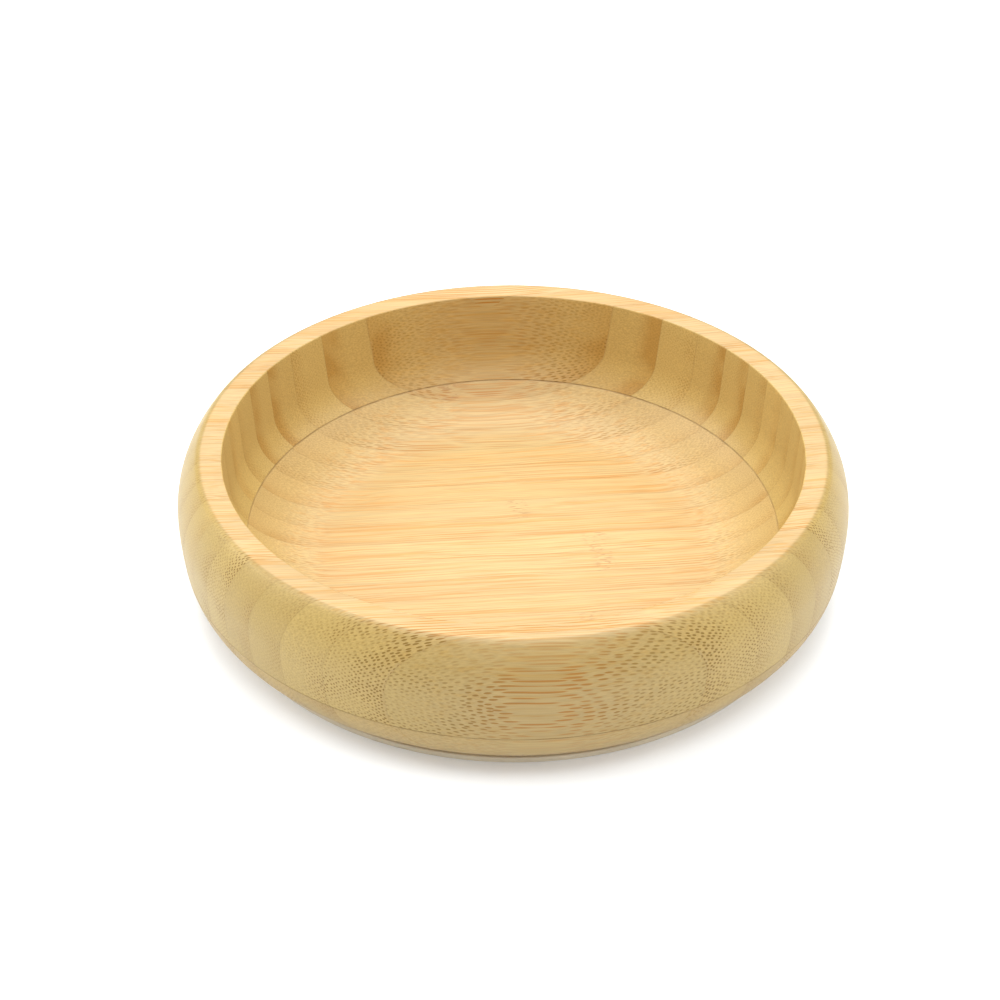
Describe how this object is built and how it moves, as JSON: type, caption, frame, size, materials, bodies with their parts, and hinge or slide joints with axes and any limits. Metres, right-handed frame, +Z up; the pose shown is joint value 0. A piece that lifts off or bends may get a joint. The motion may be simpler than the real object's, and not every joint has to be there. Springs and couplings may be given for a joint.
{
  "type": "suction bowl",
  "caption": "Shallow round bowl turned from glued bamboo strips, standing on a recessed silicone suction ring with a release tab.",
  "frame": {"origin": "on the bowl's axis, on the table that the suction ring's sealing land rests on", "axes": "+Z up along the bowl's axis, X along the bamboo's grain, +Y towards the release tab at the back"},
  "size_m": [0.15, 0.1516, 0.0346],
  "materials": {
    "bamboo_wall": "turned, sanded and oiled bamboo, end grain dots on the sides and streaks at front and back",
    "bamboo_floor": "sanded and oiled bamboo with streaks along the strips",
    "silicone": "matt food-grade silicone, warm grey"
  },
  "bodies": {
    "suction_base": {"suction_ring": "silicone"},
    "bowl": {"wall_strip_01": "bamboo_wall", "wall_strip_02": "bamboo_wall", "wall_strip_03_left": "bamboo_wall", "wall_strip_03_right": "bamboo_wall", "wall_strip_04_left": "bamboo_wall", "wall_strip_04_right": "bamboo_wall", "wall_strip_05_left": "bamboo_wall", "wall_strip_05_right": "bamboo_wall", "wall_strip_06_left": "bamboo_wall", "wall_strip_06_right": "bamboo_wall", "wall_strip_07_left": "bamboo_wall", "wall_strip_07_right": "bamboo_wall", "wall_strip_08_left": "bamboo_wall", "wall_strip_08_right": "bamboo_wall", "wall_strip_09_left": "bamboo_wall", "wall_strip_09_right": "bamboo_wall", "wall_strip_10_left": "bamboo_wall", "wall_strip_10_right": "bamboo_wall", "wall_strip_11_left": "bamboo_wall", "wall_strip_11_right": "bamboo_wall", "wall_strip_12_left": "bamboo_wall", "wall_strip_12_right": "bamboo_wall", "wall_strip_13_left": "bamboo_wall", "wall_strip_13_right": "bamboo_wall", "wall_strip_14_left": "bamboo_wall", "wall_strip_14_right": "bamboo_wall", "wall_strip_15_left": "bamboo_wall", "wall_strip_15_right": "bamboo_wall", "wall_strip_16_left": "bamboo_wall", "wall_strip_16_right": "bamboo_wall", "wall_strip_17_left": "bamboo_wall", "wall_strip_17_right": "bamboo_wall", "wall_strip_18_left": "bamboo_wall", "wall_strip_18_right": "bamboo_wall", "wall_strip_19": "bamboo_wall", "wall_strip_20": "bamboo_wall", "wall_strip_21": "bamboo_wall", "floor_strip_01": "bamboo_floor", "floor_strip_02": "bamboo_floor", "floor_strip_03": "bamboo_floor", "floor_strip_04": "bamboo_floor", "floor_strip_05": "bamboo_floor", "floor_strip_06": "bamboo_floor", "floor_strip_07": "bamboo_floor", "floor_strip_08": "bamboo_floor", "floor_strip_09": "bamboo_floor", "floor_strip_10": "bamboo_floor", "floor_strip_11": "bamboo_floor", "floor_strip_12": "bamboo_floor", "floor_strip_13": "bamboo_floor", "floor_strip_14": "bamboo_floor", "floor_strip_15": "bamboo_floor", "floor_strip_16": "bamboo_floor", "floor_strip_17": "bamboo_floor", "floor_strip_18": "bamboo_floor", "floor_strip_19": "bamboo_floor", "floor_strip_20": "bamboo_floor", "floor_strip_21": "bamboo_floor"},
    "tab": {"release_tab": "silicone"}
  },
  "joints": [
    {"name": "bowl_lift", "type": "slide", "parent": "suction_base", "child": "bowl", "axis": [0, 0, 1], "range_m": [0, 0.01]},
    {"name": "tab_lift", "type": "hinge", "parent": "suction_base", "child": "tab", "pos_m": [0, 0.0676, 0.0007], "axis": [1, 0, 0], "range_deg": [0, 45], "stiffness_Nm_per_rad": 0.001}
  ]
}
